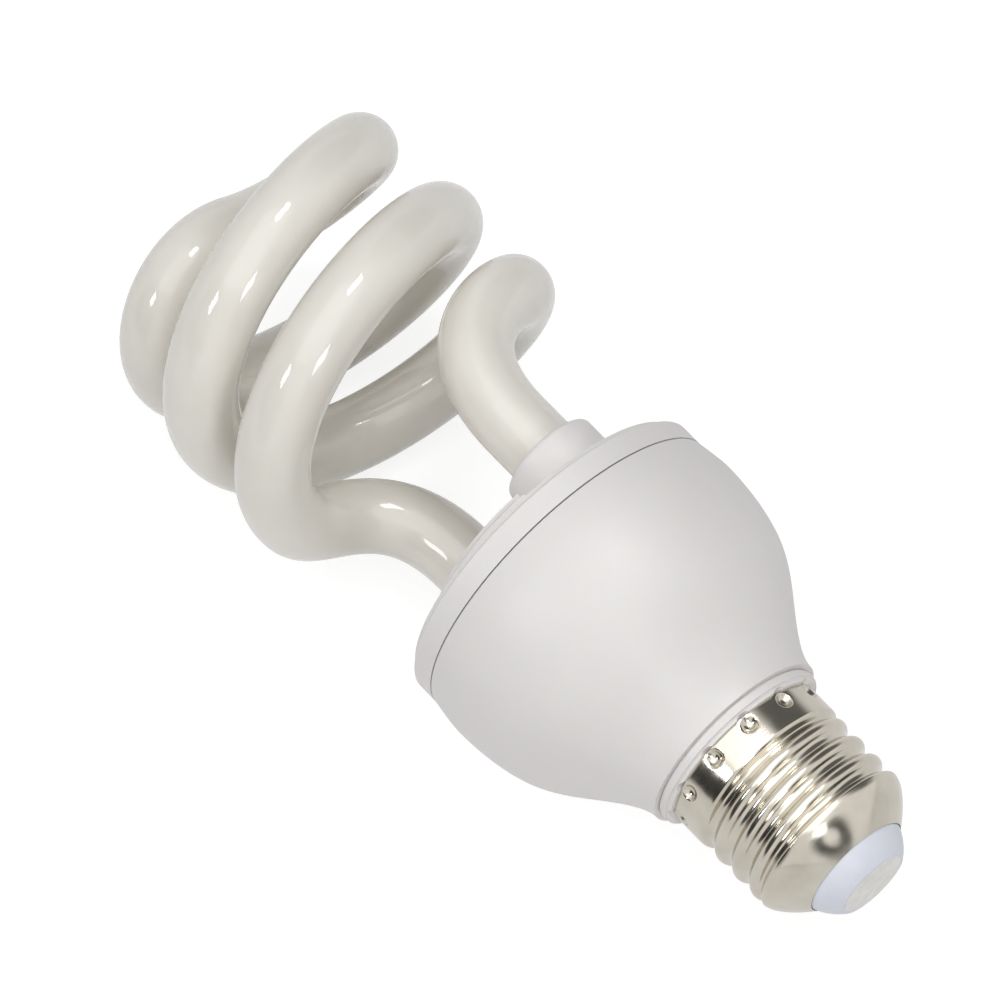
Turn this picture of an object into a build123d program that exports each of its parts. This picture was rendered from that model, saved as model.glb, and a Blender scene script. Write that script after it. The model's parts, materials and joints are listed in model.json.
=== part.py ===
# Reptile UVB bulb: a self-ballasted spiral fluorescent lamp on an E27 screw cap.
# Every piece is drawn about the lamp's own axis, which is Z here, with height 0 at the outer face
# of the centre contact. Angles run about that axis from the side that faces up when the lamp lies
# down. The last lines lay the lamp down, so that its axis runs along +X. Sizes are millimetres.
from build123d import *
from math import cos, floor, hypot, radians, sin, sqrt
import os

# Screw thread of the cap: crest and root are arcs of one radius that meet without a corner
thread_crest_radius = 13.1
thread_pitch = 3.629
thread_arc_radius = 1.025
thread_bottom = 9.2
thread_top = 22.6
thread_start_angle = 48.0
thread_burial = 0.3
thread_foot_gap = 0.12
thread_cover = 0.05

# Cap: rolled shell, insulator and centre contact
cap_wall = 0.35
cap_height = 27.4
cap_mouth_radius = 8.5
cap_mouth_height = 4.0
cap_edge_round = 1.0
dent_count = 12
dent_start_angle = -3.0
dent_radius = 1.35
dent_depth = 0.75
dent_below_edge = 1.4
contact_radius = 5.25
contact_thickness = 0.5
contact_flat_radius = 3.4
rivet_radius = 1.6
rivet_bore = 0.7
rivet_head_radius = 2.6
rivet_head_thickness = 0.5
insulator_nose_radius = 5.7
insulator_top = 7.2
insulator_nose_bulge = 0.35

# Plastic body: lower housing and tube holder
body_wall = 1.6
flange_radius = 14.4
flange_round = 0.6
flange_thickness = 1.7
flange_groove = 0.35
neck_radius = 15.2
neck_waist_radius = 16.3
neck_waist_rise = 4.0
flank_radius = 20.8
flank_rise = 6.7
upper_flank_radius = 24.9
upper_flank_rise = 6.9
shoulder_radius = 26.9
shoulder_rise = 11.7
seam_radius = 26.3
seam_rise = 5.9
seam_gap = 0.25
spigot_depth = 8.8
board_ledge_width = 2.4
board_ledge_grip = 0.6
board_ledge_angles = (60.0, 180.0, 300.0)
rim_height = 4.5
rim_round = 1.1
holder_skirt_depth = 5.0
plateau_radius = 19.2
plateau_height = 3.4
plateau_round = 1.0
collar_wall = 1.8
collar_rise = 2.1
collar_round = 0.8
socket_wall = 1.4
socket_sink = 0.7
cement_thickness = 2.0
cement_width = 2.2
clamp_post_radius = 1.1
clamp_post_angles = (60.0, 120.0, 240.0, 300.0)

# Glass tube: two straight legs, two strands of one helix and a bridge over the axis
tube_radius = 5.5
coil_outer_radius = 28.4
coil_pitch = 31.3
coil_side_rise = 36.1
coil_side_angle = 71.8
coil_start_angle = -2.5
coil_end_angle = 326.8
leg_circle_radius = 17.2
leg_angle = 15.7
leg_rise = 16.9
leg_sink = 2.4
leg_pull = 18.5
coil_start_pull = 9.1
coil_end_pull = 15.8
bridge_rise = 73.2
bridge_pull = 18.0
bridge_angle = 307.9
pinch_length = 2.4
pinch_radius = 3.0

# Ballast board and what stands on it
board_radius = 23.5
board_thickness = 1.5
board_drop = 7.3
lead_radius = 0.3
lead_stub = 1.0
lead_return = 1.2
solder_radius = 0.8
solder_height = 0.7
part_standoff = 0.6
post_width = 0.9
post_rise = 3.6
post_circle_radius = 20.3
post_spread = 30.0
wire_radius = 0.25
wire_drop = 1.5
wire_spread = 1.8
cord_radius = 0.7
cord_bend = 2.5
cord_place = (-1.2, 0.0)
cord_offset_rise = 8.6
shell_lead_place = (-1.0, 5.0)
shell_lead_angle = 321.4472
shell_lead_drop = 0.9
shell_lead_column = 8.6

# Main choke: two E cores around a bobbin and its winding
choke_place = (-9.5, 1.0)
core_thickness = 6.0
core_width = 16.0
core_height = 14.0
core_centre_leg = 5.0
core_side_leg = 2.8
core_yoke = 2.5
core_air_gap = 0.3
bobbin_wall = 0.6
bobbin_flange = 0.7
choke_winding_build = 1.6
choke_pin_spacing = (8.8, 6.0)

# Drive transformer: ring core with three short windings
drive_place = (8.0, 9.0)
drive_outer_radius = 5.0
drive_inner_radius = 2.5
drive_height = 4.5
drive_winding_build = 0.45
drive_winding_span = 62.0
drive_winding_angles = (30.0, 150.0, 270.0)

# Parts in blocks: place, turn, width, depth, height, lead spacing and number of leads
transistor_size = (7.8, 2.7, 10.8)
transistor_tab_height = 2.2
transistor_places = ((-3.0, -14.0, 0.0), (15.5, -2.0, 90.0))
resonant_place = (-4.0, 15.0)
resonant_size = (11.0, 5.0, 9.0)
coupling_place = (7.5, -15.0)
coupling_size = (7.0, 3.5, 7.0)

# Round parts: radius, length and where they hang
bulk_place = (7.5, -5.5)
bulk_radius = 5.0
bulk_length = 16.0
bulk_groove = 0.3
input_choke_place = (-15.0, 12.3)
input_choke_radius = 3.0
input_choke_length = 8.0
input_choke_flange = 0.9
input_choke_waist = 1.5
start_capacitor_radius = 3.5
start_capacitor_thickness = 2.2
start_capacitor_circle = 18.5
start_capacitor_angle = 22.0
small_part_circle = 19.0
diode_size = (1.35, 5.2)
diode_angles = (184.0, 195.0, 206.0, 217.0)
resistor_size = (1.1, 5.5)
resistor_angles = (312.0, 324.0, 336.0)
fuse_resistor_size = (1.4, 6.0)
fuse_resistor_angle = 160.0
diac_size = (0.95, 3.5)
diac_angle = 75.0

# Clearances between pieces that fit together
cap_clearance = 0.12
housing_clearance = 0.12
tube_clearance = 0.3
lead_clearance = 0.15
loose_clearance = 0.1
cement_clearance = 0.02

# Sizes that follow from the ones above
thread_centre_drop = sqrt((2 * thread_arc_radius) ** 2 - (thread_pitch / 2) ** 2)
crest_centre_radius = thread_crest_radius - thread_arc_radius
root_centre_radius = crest_centre_radius + thread_centre_drop
thread_root_radius = root_centre_radius - thread_arc_radius
cap_inner_radius = thread_crest_radius - cap_wall
spigot_radius = cap_inner_radius - cap_clearance
spigot_tip_radius = thread_root_radius - cap_wall - cap_clearance
spigot_end = cap_height - spigot_depth
flange_top = cap_height + flange_thickness
flank_height = flange_top + neck_waist_rise + flank_rise
upper_flank_height = flank_height + upper_flank_rise
shoulder_height = upper_flank_height + shoulder_rise
seam_height = shoulder_height + seam_rise
board_underside = seam_height - board_drop
board_top = board_underside + board_thickness
rim_bottom = seam_height + seam_gap
rim_top = rim_bottom + rim_height
plateau_top = rim_top + plateau_height
holder_skirt_radius = seam_radius - body_wall - housing_clearance
socket_bottom = seam_height - socket_sink
leg_bottom, leg_top = seam_height - leg_sink, seam_height + leg_rise
coil_side_height = seam_height + coil_side_rise
bridge_height = seam_height + bridge_rise
cord_offset_height = cap_height + cord_offset_rise
shell_lead_turn = (shell_lead_angle - thread_start_angle - 180) / 360
shell_lead_turns = floor((spigot_end - shell_lead_drop - thread_bottom) / thread_pitch - shell_lead_turn)
shell_lead_height = thread_bottom + (shell_lead_turns + shell_lead_turn) * thread_pitch
coil_radius = coil_outer_radius - tube_radius
leg_centre = Vector(leg_circle_radius, 0, 0).rotate(Axis.Z, leg_angle)
socket_radius = tube_radius + tube_clearance
half_turn = Rot(0, 0, 180)
part_top = board_underside - part_standoff


def polar(radius, angle, height=0.0):
    """Point at a radius, an angle in degrees and a height about the lamp's axis."""
    return Vector(radius * cos(radians(angle)), radius * sin(radians(angle)), height)


def lathe(*edges):
    """Solid turned about the lamp's axis from the edges of a closed outline in radius and height."""
    return revolve(make_face(Plane.XZ * (Curve() + list(edges))), Axis.Z)


def lathe_polygon(*points):
    """Turned solid with straight sides, from corners given as radius and height."""
    return lathe(*Polyline(*points, close=True).edges())


def drum(radius, bottom, top, at=Vector(0, 0, 0)):
    """Cylinder between two heights, centred on the axis or on a point beside it."""
    disc = Pos(at.X, at.Y, bottom) * Circle(radius)
    return extrude(disc, amount=top - bottom)


def block(width, depth, bottom, top, at, turn=0.0):
    """Upright block between two heights, centred at a point and turned about its own middle."""
    plan = Pos(at.X, at.Y, bottom) * Rot(0, 0, turn) * Rectangle(width, depth)
    return extrude(plan, amount=top - bottom)


def swept_wire(radius, points, bend):
    """Round wire along straight runs that are joined by arcs of one radius."""
    path = FilletPolyline(*points, radius=bend)
    start = Plane(origin=path @ 0, z_dir=path % 0)
    return sweep(start * Circle(radius), path=path)


# Screw cap


def thread_radius_at(offset, inset):
    """Radius of the thread at a distance along the axis from a crest, for a sheet set in by inset."""
    crest_arc = thread_arc_radius - inset
    root_arc = thread_arc_radius + inset
    if offset <= crest_arc * thread_pitch / (4 * thread_arc_radius):
        return crest_centre_radius + sqrt(crest_arc**2 - offset**2)
    return root_centre_radius - sqrt(root_arc**2 - (thread_pitch / 2 - offset) ** 2)


def cone_outline(inset):
    """Start of the cap's outline: the mouth's point and the slope in height for each mm of radius."""
    rise, spread = thread_bottom - cap_mouth_height, thread_crest_radius - cap_mouth_radius
    lift = inset * hypot(rise, spread) / spread
    return Vector(cap_mouth_radius, cap_mouth_height + lift), rise / spread


def thread_rib(inset):
    """Rib of the thread: one pitch of its wave, swept along a helix past both ends."""
    join = (thread_arc_radius - inset) * thread_pitch / (4 * thread_arc_radius)
    foot = thread_pitch / 2 - thread_foot_gap
    buried = thread_root_radius - inset - thread_burial

    def at(offset):
        return (thread_radius_at(abs(offset), inset), offset)

    wave = Polyline(at(-foot), (buried, -foot), (buried, foot), at(foot)).edges()
    for side in (-1, 1):
        wave += ThreePointArc(at(side * foot), at(side * (foot + join) / 2), at(side * join)).edges()
    wave += ThreePointArc(at(-join), at(0), at(join)).edges()
    start = Pos(0, 0, thread_bottom - thread_pitch) * Rot(0, 0, thread_start_angle)
    path = start * Helix(thread_pitch, thread_top - thread_bottom + 2 * thread_pitch, thread_crest_radius)
    return sweep(start * (Plane.XZ * make_face(Curve() + wave)), path=path, is_frenet=True)


def cap_body(inset):
    """Cap as a solid: a drum just above the thread's root with its rib, cut to a cone, and the skirt."""
    mouth, slope = cone_outline(inset)
    core_radius = thread_root_radius - inset + thread_cover
    skirt_radius = thread_crest_radius - inset + thread_cover
    skirt_foot, reach = thread_top - cap_edge_round - inset, thread_crest_radius + thread_pitch
    envelope = lathe_polygon(
        (0, mouth.Y), mouth, (reach, mouth.Y + (reach - mouth.X) * slope), (reach, thread_top), (0, thread_top))
    threaded = (drum(core_radius, 0, cap_height) + thread_rib(inset)) & envelope
    skirt = lathe(
        Line((0, skirt_foot), (core_radius - thread_burial, skirt_foot)),
        Spline((core_radius - thread_burial, skirt_foot), (skirt_radius, thread_top - inset),
               tangents=((0.4, 1), (0, 1))),
        Line((skirt_radius, thread_top - inset), (skirt_radius, cap_height)),
        Line((skirt_radius, cap_height), (0, cap_height)),
        Line((0, cap_height), (0, skirt_foot)),
    )
    return threaded + skirt


def dents(radius, depth):
    """Balls that stamp the ring of dents in the cap's skirt, sunk to a depth below its surface."""
    centre_radius = thread_crest_radius + radius - depth
    height = cap_height - dent_below_edge
    return [
        Pos(polar(centre_radius, dent_start_angle + 360 * step / dent_count, height)) * Sphere(radius)
        for step in range(dent_count)
    ]


def make_cap_shell():
    """Rolled sheet: cone, round thread and skirt, with the crimp dents that grip the spigot."""
    shell = cap_body(0) - cap_body(cap_wall)
    shell -= drum(cap_mouth_radius, 0, thread_bottom)
    within = drum(cap_inner_radius + cap_wall / 2, thread_top, cap_height)
    shell += [ball & within for ball in dents(dent_radius + cap_wall, dent_depth + cap_wall)]
    return shell - dents(dent_radius, dent_depth)


def make_cap_insulator():
    """Moulded insulator: a nose outside the shell, a collar through its mouth and a flared base."""
    inside, slope = cone_outline(cap_wall + cap_clearance)
    neck = cap_mouth_radius - cap_clearance
    neck_top = inside.Y
    base_radius = neck + (insulator_top - neck_top) / slope
    middle = Vector((insulator_nose_radius + neck) / 2 + insulator_nose_bulge,
                    (contact_thickness + cap_mouth_height) / 2)
    hole = rivet_radius + lead_clearance
    return lathe(
        Line((hole, contact_thickness), (insulator_nose_radius, contact_thickness)),
        ThreePointArc((insulator_nose_radius, contact_thickness), middle, (neck, cap_mouth_height)),
        Line((neck, cap_mouth_height), (neck, neck_top)),
        Line((neck, neck_top), (base_radius, insulator_top)),
        Line((base_radius, insulator_top), (hole, insulator_top)),
        Line((hole, insulator_top), (hole, contact_thickness)),
    )


def make_centre_contact():
    """Contact disc with a rolled edge and a hollow rivet, which clamps it to the insulator."""
    head_top = insulator_top + rivet_head_thickness
    return lathe(
        Line((0, 0), (contact_flat_radius, 0)),
        ThreePointArc(
            (contact_flat_radius, 0),
            ((contact_flat_radius + contact_radius) / 2, contact_thickness * 0.25),
            (contact_radius, contact_thickness),
        ),
        Line((contact_radius, contact_thickness), (rivet_radius, contact_thickness)),
        Line((rivet_radius, contact_thickness), (rivet_radius, insulator_top)),
        Line((rivet_radius, insulator_top), (rivet_head_radius, insulator_top)),
        Line((rivet_head_radius, insulator_top), (rivet_head_radius, head_top)),
        Line((rivet_head_radius, head_top), (rivet_bore, head_top)),
        Line((rivet_bore, head_top), (rivet_bore, contact_thickness)),
        Line((rivet_bore, contact_thickness), (0, contact_thickness)),
        Line((0, contact_thickness), (0, 0)),
    )


# Plastic body


def housing_stations(inset):
    """Points of the housing's flank, from the neck to the seam, moved in along its own slope."""
    outside = [
        Vector(neck_radius, flange_top),
        Vector(neck_waist_radius, flange_top + neck_waist_rise),
        Vector(flank_radius, flank_height),
        Vector(upper_flank_radius, upper_flank_height),
        Vector(shoulder_radius, shoulder_height),
        Vector(seam_radius, seam_height),
    ]
    curve = Spline(*outside)
    tangents = [curve.tangent_at(curve.param_at_point(point)) for point in outside]
    return [point + Vector(-slope.Y, slope.X) * inset for point, slope in zip(outside, tangents)]


def make_lower_housing():
    """Moulded shell: spigot inside the cap, flange, waisted neck, round shoulder and open top."""
    groove_top = flange_top + flange_groove
    outer = housing_stations(0)
    inner = housing_stations(body_wall)
    spigot_step = thread_top - cap_wall
    spigot_full = thread_top + cap_edge_round
    tip_bore = spigot_tip_radius - body_wall
    inner_start = Vector(neck_radius - body_wall, groove_top)
    inner_end = Vector(seam_radius - body_wall, seam_height)
    shell = lathe(
        Line((tip_bore, spigot_end), (spigot_tip_radius, spigot_end)),
        Line((spigot_tip_radius, spigot_end), (spigot_tip_radius, spigot_step)),
        Line((spigot_tip_radius, spigot_step), (spigot_radius, spigot_full)),
        Line((spigot_radius, spigot_full), (spigot_radius, cap_height)),
        Line((spigot_radius, cap_height), (flange_radius - flange_round, cap_height)),
        RadiusArc((flange_radius - flange_round, cap_height),
                  (flange_radius, cap_height + flange_round), flange_round),
        Line((flange_radius, cap_height + flange_round), (flange_radius, flange_top)),
        Line((flange_radius, flange_top), (flange_radius - flange_groove, flange_top)),
        Line((flange_radius - flange_groove, flange_top), (flange_radius - flange_groove, groove_top)),
        Line((flange_radius - flange_groove, groove_top), (neck_radius, groove_top)),
        Spline((neck_radius, groove_top), *outer[1:], tangents=((0.05, 1), (-0.15, 1))),
        Line(outer[-1], inner_end),
        Spline(inner_end, *reversed(inner[1:-1]), inner_start, tangents=((0.15, -1), (-0.05, -1))),
        Line(inner_start, (spigot_radius - body_wall, cap_height)),
        Line((spigot_radius - body_wall, cap_height), (spigot_radius - body_wall, spigot_full)),
        Line((spigot_radius - body_wall, spigot_full), (tip_bore, spigot_step)),
        Line((tip_bore, spigot_step), (tip_bore, spigot_end)),
    )
    shell -= dents(dent_radius + cap_wall + cap_clearance, dent_depth + cap_wall + cap_clearance)
    ledge_reach = shoulder_radius - body_wall / 2
    ledge_start = board_radius - board_ledge_grip
    ledge_height = board_underside - upper_flank_height
    for angle in board_ledge_angles:
        middle = polar((ledge_reach + ledge_start) / 2, angle)
        rib = block(ledge_reach - ledge_start, board_ledge_width,
                    board_underside - ledge_height, board_underside, middle, angle)
        shell += rib & lathe_polygon(
            (0, board_underside - ledge_height), (upper_flank_radius - body_wall / 2, upper_flank_height),
            (ledge_reach, shoulder_height), (0, shoulder_height))
    return shell


def make_tube_holder():
    """Moulded cover: rim, raised middle, a collared socket for each leg and posts over the board."""
    skirt_radius = holder_skirt_radius
    ceiling = rim_top - body_wall
    cover = lathe(
        Line((0, ceiling), (skirt_radius - body_wall, ceiling)),
        Line((skirt_radius - body_wall, ceiling), (skirt_radius - body_wall, rim_bottom - holder_skirt_depth)),
        Line((skirt_radius - body_wall, rim_bottom - holder_skirt_depth),
             (skirt_radius, rim_bottom - holder_skirt_depth)),
        Line((skirt_radius, rim_bottom - holder_skirt_depth), (skirt_radius, rim_bottom)),
        Line((skirt_radius, rim_bottom), (seam_radius, rim_bottom)),
        Line((seam_radius, rim_bottom), (seam_radius, rim_top - rim_round)),
        RadiusArc((seam_radius, rim_top - rim_round), (seam_radius - rim_round, rim_top), rim_round),
        Line((seam_radius - rim_round, rim_top), (plateau_radius, rim_top)),
        Line((plateau_radius, rim_top), (plateau_radius, plateau_top - plateau_round)),
        RadiusArc((plateau_radius, plateau_top - plateau_round),
                  (plateau_radius - plateau_round, plateau_top), plateau_round),
        Line((plateau_radius - plateau_round, plateau_top), (0, plateau_top)),
        Line((0, plateau_top), (0, ceiling)),
    )
    collar_radius = socket_radius + collar_wall
    collar_top = plateau_top + collar_rise
    for leg in (leg_centre, -leg_centre):
        collar = drum(collar_radius, ceiling, collar_top, leg)
        cover += fillet(collar.edges().sort_by(Axis.Z)[-1], collar_round)
        cover += drum(socket_radius + socket_wall, socket_bottom, collar_top - collar_round, leg)
    cover -= [drum(socket_radius, socket_bottom - 1, collar_top + 1, leg) for leg in (leg_centre, -leg_centre)]
    post_circle = skirt_radius - body_wall - 2 * clamp_post_radius
    cover += [drum(clamp_post_radius, board_top, rim_top - body_wall / 2, polar(post_circle, angle))
              for angle in clamp_post_angles]
    return cover


# Glass tube


def make_discharge_tube():
    """Sealed tube as one solid: a leg, a bend, a strand and half the bridge, then all of it again."""
    start_height = coil_side_height + coil_pitch * coil_start_angle / 360
    climb = coil_pitch * (coil_end_angle - coil_start_angle) / 360
    place = Pos(0, 0, start_height) * Rot(0, 0, coil_side_angle + coil_start_angle)
    strand = place * Helix(coil_pitch, climb, coil_radius)
    start, end = strand @ 0, strand @ 1
    base, bend_start = leg_centre + (0, 0, leg_bottom + pinch_length), leg_centre + (0, 0, leg_top)
    summit = Vector(0, 0, bridge_height)
    bend = Bezier(bend_start, bend_start + (0, 0, leg_pull), start - (strand % 0) * coil_start_pull, start)
    bridge = Bezier(end, end + (strand % 1) * coil_end_pull, summit - polar(bridge_pull, bridge_angle), summit)
    half = Line(base, bend_start).edges() + bend.edges() + strand.edges() + bridge.edges()
    path = Wire([*half, *[half_turn * edge for edge in half]])
    tube = sweep(Plane(base) * Circle(tube_radius), path=path)
    pinch = loft([Plane(base) * Circle(tube_radius), Pos(0, 0, -pinch_length) * Plane(base) * Circle(pinch_radius)])
    return tube + pinch + half_turn * pinch


def make_tube_cement(leg):
    """Cement under a socket, around the end of one leg and just inside the holder's skirt."""
    bottom = socket_bottom - cement_thickness
    ring = drum(tube_radius + cement_width, bottom, socket_bottom, leg)
    ring -= drum(tube_radius + cement_clearance, bottom, socket_bottom, leg)
    return ring & drum(holder_skirt_radius - body_wall - cement_clearance, bottom, socket_bottom)


# Ballast board and its parts. Each part hangs below the board, and its leads pass up through it.


def lead(place, start=part_top):
    """Lead from a part up through the board, with its cone of solder on the board's top side."""
    solder = Pos(place.X, place.Y, board_top + solder_height / 2) * Cone(solder_radius, lead_radius, solder_height)
    return drum(lead_radius, start, board_top + lead_stub, place) + solder


def row(place, spacing, count=2, turn=0.0):
    """Places of evenly spaced leads, centred on a part's place."""
    first = -spacing * (count - 1) / 2
    return [Vector(*place) + polar(first + spacing * step, turn) for step in range(count)]


def stand_leads(radius, angle):
    """Places of the two leads of a part that hangs on end near the board's edge."""
    return [polar(small_part_circle, angle), polar(small_part_circle + radius + lead_return, angle)]


def standing_part(radius, length, angle):
    """Round part hung on end: one lead goes straight up, the other comes back round its side."""
    near, far = stand_leads(radius, angle)
    body = drum(radius, part_top - length, part_top, near)
    edges = body.edges().filter_by(GeomType.CIRCLE)
    foot = Vector(0, 0, part_top - length - lead_return)
    loop = [near + (0, 0, part_top - length), near + foot, far + foot, far + (0, 0, part_top)]
    return fillet(edges, radius / 3) + lead(near) + lead(far) + swept_wire(lead_radius, loop, lead_return / 2)


def boxed_part(size, place, spacing, count=2, turn=0.0, corner=0.5):
    """Box with rounded corners, hung by a row of leads."""
    width, depth, height = size
    body = block(width, depth, part_top - height, part_top, Vector(*place), turn)
    return fillet(body.edges(), corner) + [lead(at) for at in row(place, spacing, count, turn)]


def make_transistor(x, y, turn):
    """Power transistor: body, thinner tab below it with its hole, and three leads."""
    width, depth, height = transistor_size
    place = Vector(x, y)
    tab_top = part_top - height + transistor_tab_height
    body = block(width, depth, tab_top, part_top, place, turn)
    tab = block(width, depth / 2, part_top - height, tab_top, place, turn)
    hole = Pos(x, y, tab_top) * Rot(0, 0, turn) * Rot(90, 0, 0) * Cylinder(transistor_tab_height / 3, 2 * depth)
    return body + tab - hole + [lead(at) for at in row((x, y), width / 3, 3, turn)]


def make_choke_core(upper):
    """One of two E cores, whose legs meet the other one's at half height."""
    top = part_top
    bottom = part_top - core_height
    middle = (top + bottom) / 2
    place = Vector(*choke_place)
    core = block(core_thickness, core_width, bottom, middle, place)
    window_width = (core_width - core_centre_leg) / 2 - core_side_leg
    for side in (1, -1):
        window_middle = place + (0, side * (core_centre_leg + window_width) / 2)
        core -= block(2 * core_thickness, window_width, bottom + core_yoke, middle, window_middle)
    core -= block(core_thickness, core_centre_leg, middle - core_air_gap / 2, middle, place)
    return mirror(core, Plane.XY.offset(middle)) if upper else core


def choke_sleeve(thickness, bottom, top):
    """Rectangular sleeve round the choke's centre leg, with its inside a clearance away."""
    place = Vector(*choke_place)
    inside = (core_thickness + 2 * loose_clearance, core_centre_leg + 2 * loose_clearance)
    outer = block(inside[0] + 2 * thickness, inside[1] + 2 * thickness, bottom, top, place)
    return outer - block(*inside, bottom, top, place)


def make_choke_bobbin():
    """Bobbin: sleeve with a flange at each end and four pins that carry the choke."""
    place = Vector(*choke_place)
    top = part_top - core_yoke - loose_clearance
    bottom = part_top - core_height + core_yoke + loose_clearance
    bobbin = choke_sleeve(bobbin_wall, bottom, top)
    flange = bobbin_wall + choke_winding_build + loose_clearance
    bobbin += choke_sleeve(flange, bottom, bottom + bobbin_flange)
    bobbin += choke_sleeve(flange, top - bobbin_flange, top)
    return bobbin + [lead(at, top - bobbin_flange / 2) for at in choke_pins()]


def choke_pins():
    """Places of the four pins, outside the core's thickness."""
    across, along = choke_pin_spacing
    return [Vector(*choke_place) + (x * across / 2, y * along / 2) for x in (1, -1) for y in (1, -1)]


def make_choke_winding():
    """Winding between the bobbin's flanges, as one coil with rounded corners."""
    top = part_top - core_yoke - loose_clearance - bobbin_flange
    bottom = part_top - core_height + core_yoke + loose_clearance + bobbin_flange
    winding = choke_sleeve(bobbin_wall + choke_winding_build, bottom, top)
    winding = fillet(winding.edges().filter_by(Axis.Z).group_by(SortBy.DISTANCE)[-1], choke_winding_build)
    return winding - choke_sleeve(bobbin_wall, bottom, top) - block(
        core_thickness, core_centre_leg, bottom, top, Vector(*choke_place))


def drive_ring(swell, span=360.0, angle=0.0):
    """Ring about the drive transformer's own centre, or a sector of it, thicker by swell all round."""
    width = drive_outer_radius - drive_inner_radius + 2 * swell
    middle = (drive_outer_radius + drive_inner_radius) / 2
    height = part_top - drive_winding_build - drive_height / 2
    section = Pos(middle, 0, 0) * RectangleRounded(width, drive_height + 2 * swell, 0.4 + swell)
    ring = revolve(Plane.XZ * section, Axis.Z, span)
    return Pos(*drive_place, height) * Rot(0, 0, angle - span / 2) * ring


def drive_leads(angle):
    """Places of the two wires of one drive winding."""
    reach = drive_outer_radius + drive_winding_build
    return [Vector(*drive_place) + polar(reach, angle + side * drive_winding_span / 4) for side in (1, -1)]


def make_drive_winding(angle):
    """Short winding on the ring core, with its two ends taken up through the board."""
    winding = drive_ring(drive_winding_build, drive_winding_span, angle) - drive_ring(0)
    return winding + [lead(at, part_top - drive_height / 2) for at in drive_leads(angle)]


def make_bulk_capacitor():
    """Electrolytic can with a rolled groove near its leads."""
    at = Vector(*bulk_place)
    can = drum(bulk_radius, part_top - bulk_length, part_top, at)
    can = fillet(can.edges().filter_by(GeomType.CIRCLE), 0.6)
    groove = Pos(at.X, at.Y, part_top - 2.5) * Torus(bulk_radius + bulk_groove, 2 * bulk_groove)
    return can - groove + [lead(place) for place in row(bulk_place, bulk_radius)]


def make_input_choke_core():
    """Drum core: two flanges on a thin waist, with its leads."""
    at = Vector(*input_choke_place)
    bottom = part_top - input_choke_length
    core = drum(input_choke_waist, bottom, part_top, at)
    core += drum(input_choke_radius, bottom, bottom + input_choke_flange, at)
    core += drum(input_choke_radius, part_top - input_choke_flange, part_top, at)
    return core + [lead(place) for place in row(input_choke_place, input_choke_radius)]


def make_input_choke_winding():
    """Winding on the drum core, kept just inside its flanges."""
    at = Vector(*input_choke_place)
    bottom = part_top - input_choke_length + input_choke_flange
    top = part_top - input_choke_flange
    return drum(input_choke_radius - loose_clearance, bottom, top, at) - drum(input_choke_waist, bottom, top, at)


def start_capacitor_leads():
    """Places of the start capacitor's leads, side by side along the board's edge."""
    at = polar(start_capacitor_circle, start_capacitor_angle)
    return row((at.X, at.Y), start_capacitor_radius * 1.4, 2, start_capacitor_angle + 90)


def make_start_capacitor():
    """Disc capacitor that hangs edge up, with its flat side towards the housing."""
    at = polar(start_capacitor_circle, start_capacitor_angle, part_top - start_capacitor_radius)
    disc = Cylinder(start_capacitor_radius, start_capacitor_thickness)
    disc = fillet(disc.edges().filter_by(GeomType.CIRCLE), start_capacitor_thickness / 3)
    disc = Pos(at) * Rot(0, 0, start_capacitor_angle) * Rot(0, 90, 0) * disc
    return disc + [lead(place, at.Z) for place in start_capacitor_leads()]


def post_places():
    """Wire posts: two beside each leg, with the leg they serve."""
    return [
        (leg, polar(post_circle_radius, leg_angle + base + side * post_spread), leg_angle + base + side * post_spread)
        for leg, base in ((leg_centre, 0), (-leg_centre, 180)) for side in (1, -1)
    ]


def make_wire_post(place, turn):
    """Square pin through the board, with a wire from the tube wound to its side."""
    collar = block(2 * post_width, 2 * post_width, board_top, board_top + lead_clearance, place, turn)
    bottom = board_underside - lead_stub
    return block(post_width, post_width, bottom, board_top + post_rise, place, turn) + collar


def make_filament_lead(leg, place):
    """Bare wire from the tube's flat end, down and across to its post."""
    towards = (place - leg).normalized()
    start = leg + towards * wire_spread
    height = leg_bottom - wire_drop
    reach = place - towards * post_width * 0.75
    return swept_wire(wire_radius, [start + (0, 0, leg_bottom), start + (0, 0, height), reach + (0, 0, height)],
                      2 * wire_radius)


def make_centre_lead():
    """Insulated wire from the contact's rivet to the board, with bare ends."""
    at = Vector(*cord_place)
    low, high = contact_thickness + cord_radius, part_top
    bare = [(0, 0, low), (0, 0, cord_offset_height - cord_bend), at + (0, 0, cord_offset_height + cord_bend),
            at + (0, 0, high)]
    insulated = [(0, 0, insulator_top + 2 * cord_bend), bare[1], bare[2], at + (0, 0, high - cord_bend)]
    return swept_wire(lead_radius, bare, cord_bend) + swept_wire(cord_radius, insulated, cord_bend) + lead(at, high)


def make_shell_lead():
    """Wire from the board, down through the spigot and out to the highest thread root below it."""
    at = Vector(*shell_lead_place)
    column = polar(shell_lead_column, shell_lead_angle)
    end = polar(thread_root_radius - cap_wall, shell_lead_angle, shell_lead_height)
    path = [end, column + (0, 0, shell_lead_height), column + (0, 0, cap_height), at + (0, 0, cord_offset_height),
            at + (0, 0, part_top)]
    return swept_wire(lead_radius, path, 2 * lead_radius) + lead(at)


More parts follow.
